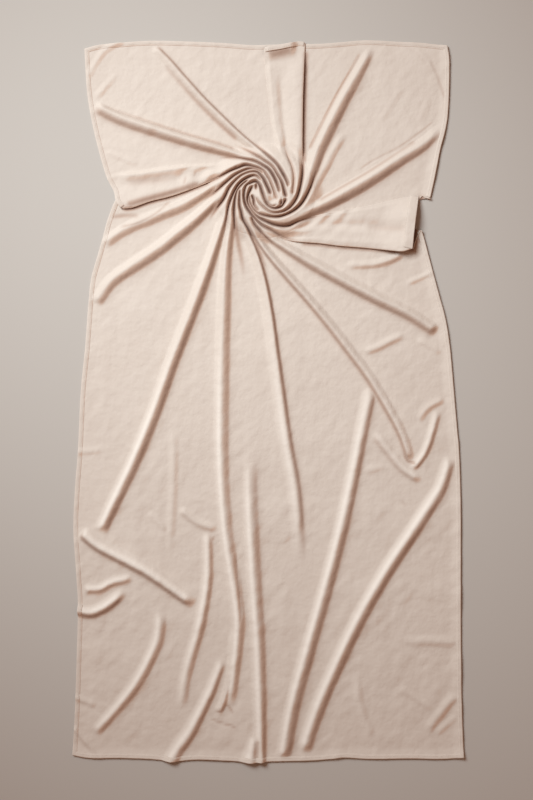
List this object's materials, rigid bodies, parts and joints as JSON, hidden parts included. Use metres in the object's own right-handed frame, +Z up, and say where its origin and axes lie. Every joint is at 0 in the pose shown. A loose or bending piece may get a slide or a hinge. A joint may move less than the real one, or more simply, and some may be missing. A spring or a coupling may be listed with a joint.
{
  "type": "jersey hijab laid flat",
  "caption": "Hijab of knit jersey laid flat, its middle twisted into a spiral rosette with folds running out over a short upper panel and a long lower panel.",
  "frame": {"origin": "middle of the laid cloth's bounding box, on the plane it lies on", "axes": "+Y along the length towards the short upper end, +Z up out of the cloth, +X to the right as seen from above"},
  "size_m": [0.7817, 1.4417, 0.0255],
  "materials": {
    "jersey": "matte knit jersey"
  },
  "bodies": {
    "root": {"panel_upper_left": "jersey", "panel_upper_right": "jersey", "panel_lower": "jersey", "pleat_left": "jersey", "pleat_top": "jersey", "pleat_right": "jersey", "rosette": "jersey", "hem_top_left": "jersey", "hem_pleat_top": "jersey", "hem_top_right": "jersey", "hem_right_upper": "jersey", "hem_pleat_right": "jersey", "hem_right_lower": "jersey", "hem_bottom": "jersey", "hem_left_lower": "jersey", "hem_pleat_left": "jersey", "hem_left_upper": "jersey"}
  },
  "joints": []
}
